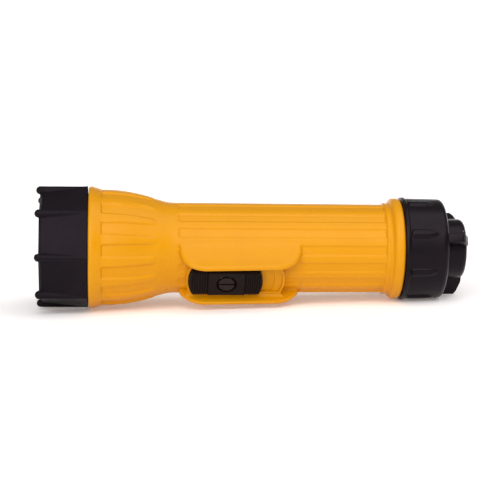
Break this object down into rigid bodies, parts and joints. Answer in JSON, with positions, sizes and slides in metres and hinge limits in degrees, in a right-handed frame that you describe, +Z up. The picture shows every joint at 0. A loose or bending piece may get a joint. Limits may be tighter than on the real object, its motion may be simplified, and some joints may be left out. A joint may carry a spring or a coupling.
{
  "type": "firefighter flashlight",
  "caption": "Two-cell safety flashlight: fluted barrel flaring to an octagonal lens ring, guarded slide switch with signal button, screw tail cap with lugs and a folding hang ring.",
  "frame": {"origin": "on the flashlight's long axis, halfway between the tips of the lens ring and the end of the tail boss", "axes": "+X along the axis from the lens towards the tail cap, +Z up as the light lies on a table, the switch facing -Y and down"},
  "size_m": [0.2038, 0.0594, 0.0586],
  "materials": {
    "yellow_polymer": "satin moulded",
    "black_polymer": "satin moulded",
    "black_ring": "fine grain",
    "clear_lens": "polished",
    "bulb_glass": "clear",
    "seal_rubber": "matt",
    "reflector_metal": "mirror plated",
    "white_polymer": "matt moulded",
    "brass": "plain",
    "spring_steel": "drawn wire",
    "plated_steel": "nickel plated",
    "cell_jacket": "printed sleeve, bare"
  },
  "bodies": {
    "root": {"barrel": "yellow_polymer", "reflector": "reflector_metal", "bulb_glass": "bulb_glass", "bulb_base": "brass", "bulb_holder": "white_polymer", "shock_spring": "spring_steel", "front_contact": "brass", "front_cell": "cell_jacket", "front_cell_terminal": "plated_steel", "rear_cell": "cell_jacket", "rear_cell_terminal": "plated_steel", "head_seal": "seal_rubber", "tail_seal": "seal_rubber", "front_contact_strip": "brass", "rear_contact_strip": "brass", "strip_rivets": "brass"},
    "lens_pack": {"lens": "clear_lens", "lens_gasket": "seal_rubber"},
    "lens_ring": {"lens_ring": "black_ring"},
    "switch": {"switch_slider": "black_polymer", "switch_seal": "seal_rubber", "switch_carriage": "white_polymer", "switch_contact": "brass", "button_spring": "spring_steel"},
    "button": {"signal_button": "black_polymer", "button_clip": "spring_steel"},
    "tail_pack": {"tail_contact": "brass", "tail_spring": "spring_steel"},
    "tail_cap": {"tail_cap": "black_polymer", "ring_pin": "plated_steel"},
    "hang_ring": {"hang_ring": "plated_steel"}
  },
  "joints": [
    {"name": "lens_pack_slide", "type": "slide", "parent": "root", "child": "lens_pack", "axis": [-1, 0, 0], "range_m": [0, 0.006]},
    {"name": "lens_ring_turn", "type": "hinge", "parent": "lens_pack", "child": "lens_ring", "pos_m": [-0.08995, 0, 0], "axis": [-1, 0, 0], "range_deg": [0, 720]},
    {"name": "switch_slide", "type": "slide", "parent": "root", "child": "switch", "axis": [1, 0, 0], "range_m": [0, 0.0085]},
    {"name": "button_press", "type": "slide", "parent": "switch", "child": "button", "axis": [0, 0.8387, 0.5446], "range_m": [0, 0.0008], "stiffness_N_per_m": 1200, "deforming": ["button_spring"]},
    {"name": "tail_pack_slide", "type": "slide", "parent": "root", "child": "tail_pack", "axis": [1, 0, 0], "range_m": [0, 0.0096]},
    {"name": "tail_cap_turn", "type": "hinge", "parent": "tail_pack", "child": "tail_cap", "pos_m": [0.07805, 0, 0], "axis": [1, 0, 0], "range_deg": [0, 1080]},
    {"name": "hang_ring_swing", "type": "hinge", "parent": "tail_cap", "child": "hang_ring", "pos_m": [0.10005, 0, 0.009], "axis": [0, -1, 0], "range_deg": [0, 100]}
  ],
  "couplings": [
    {"joint": "lens_pack_slide", "follows": "lens_ring_turn", "m_per_rad": 0.00047742},
    {"joint": "tail_pack_slide", "follows": "tail_cap_turn", "m_per_rad": 0.00050924}
  ]
}
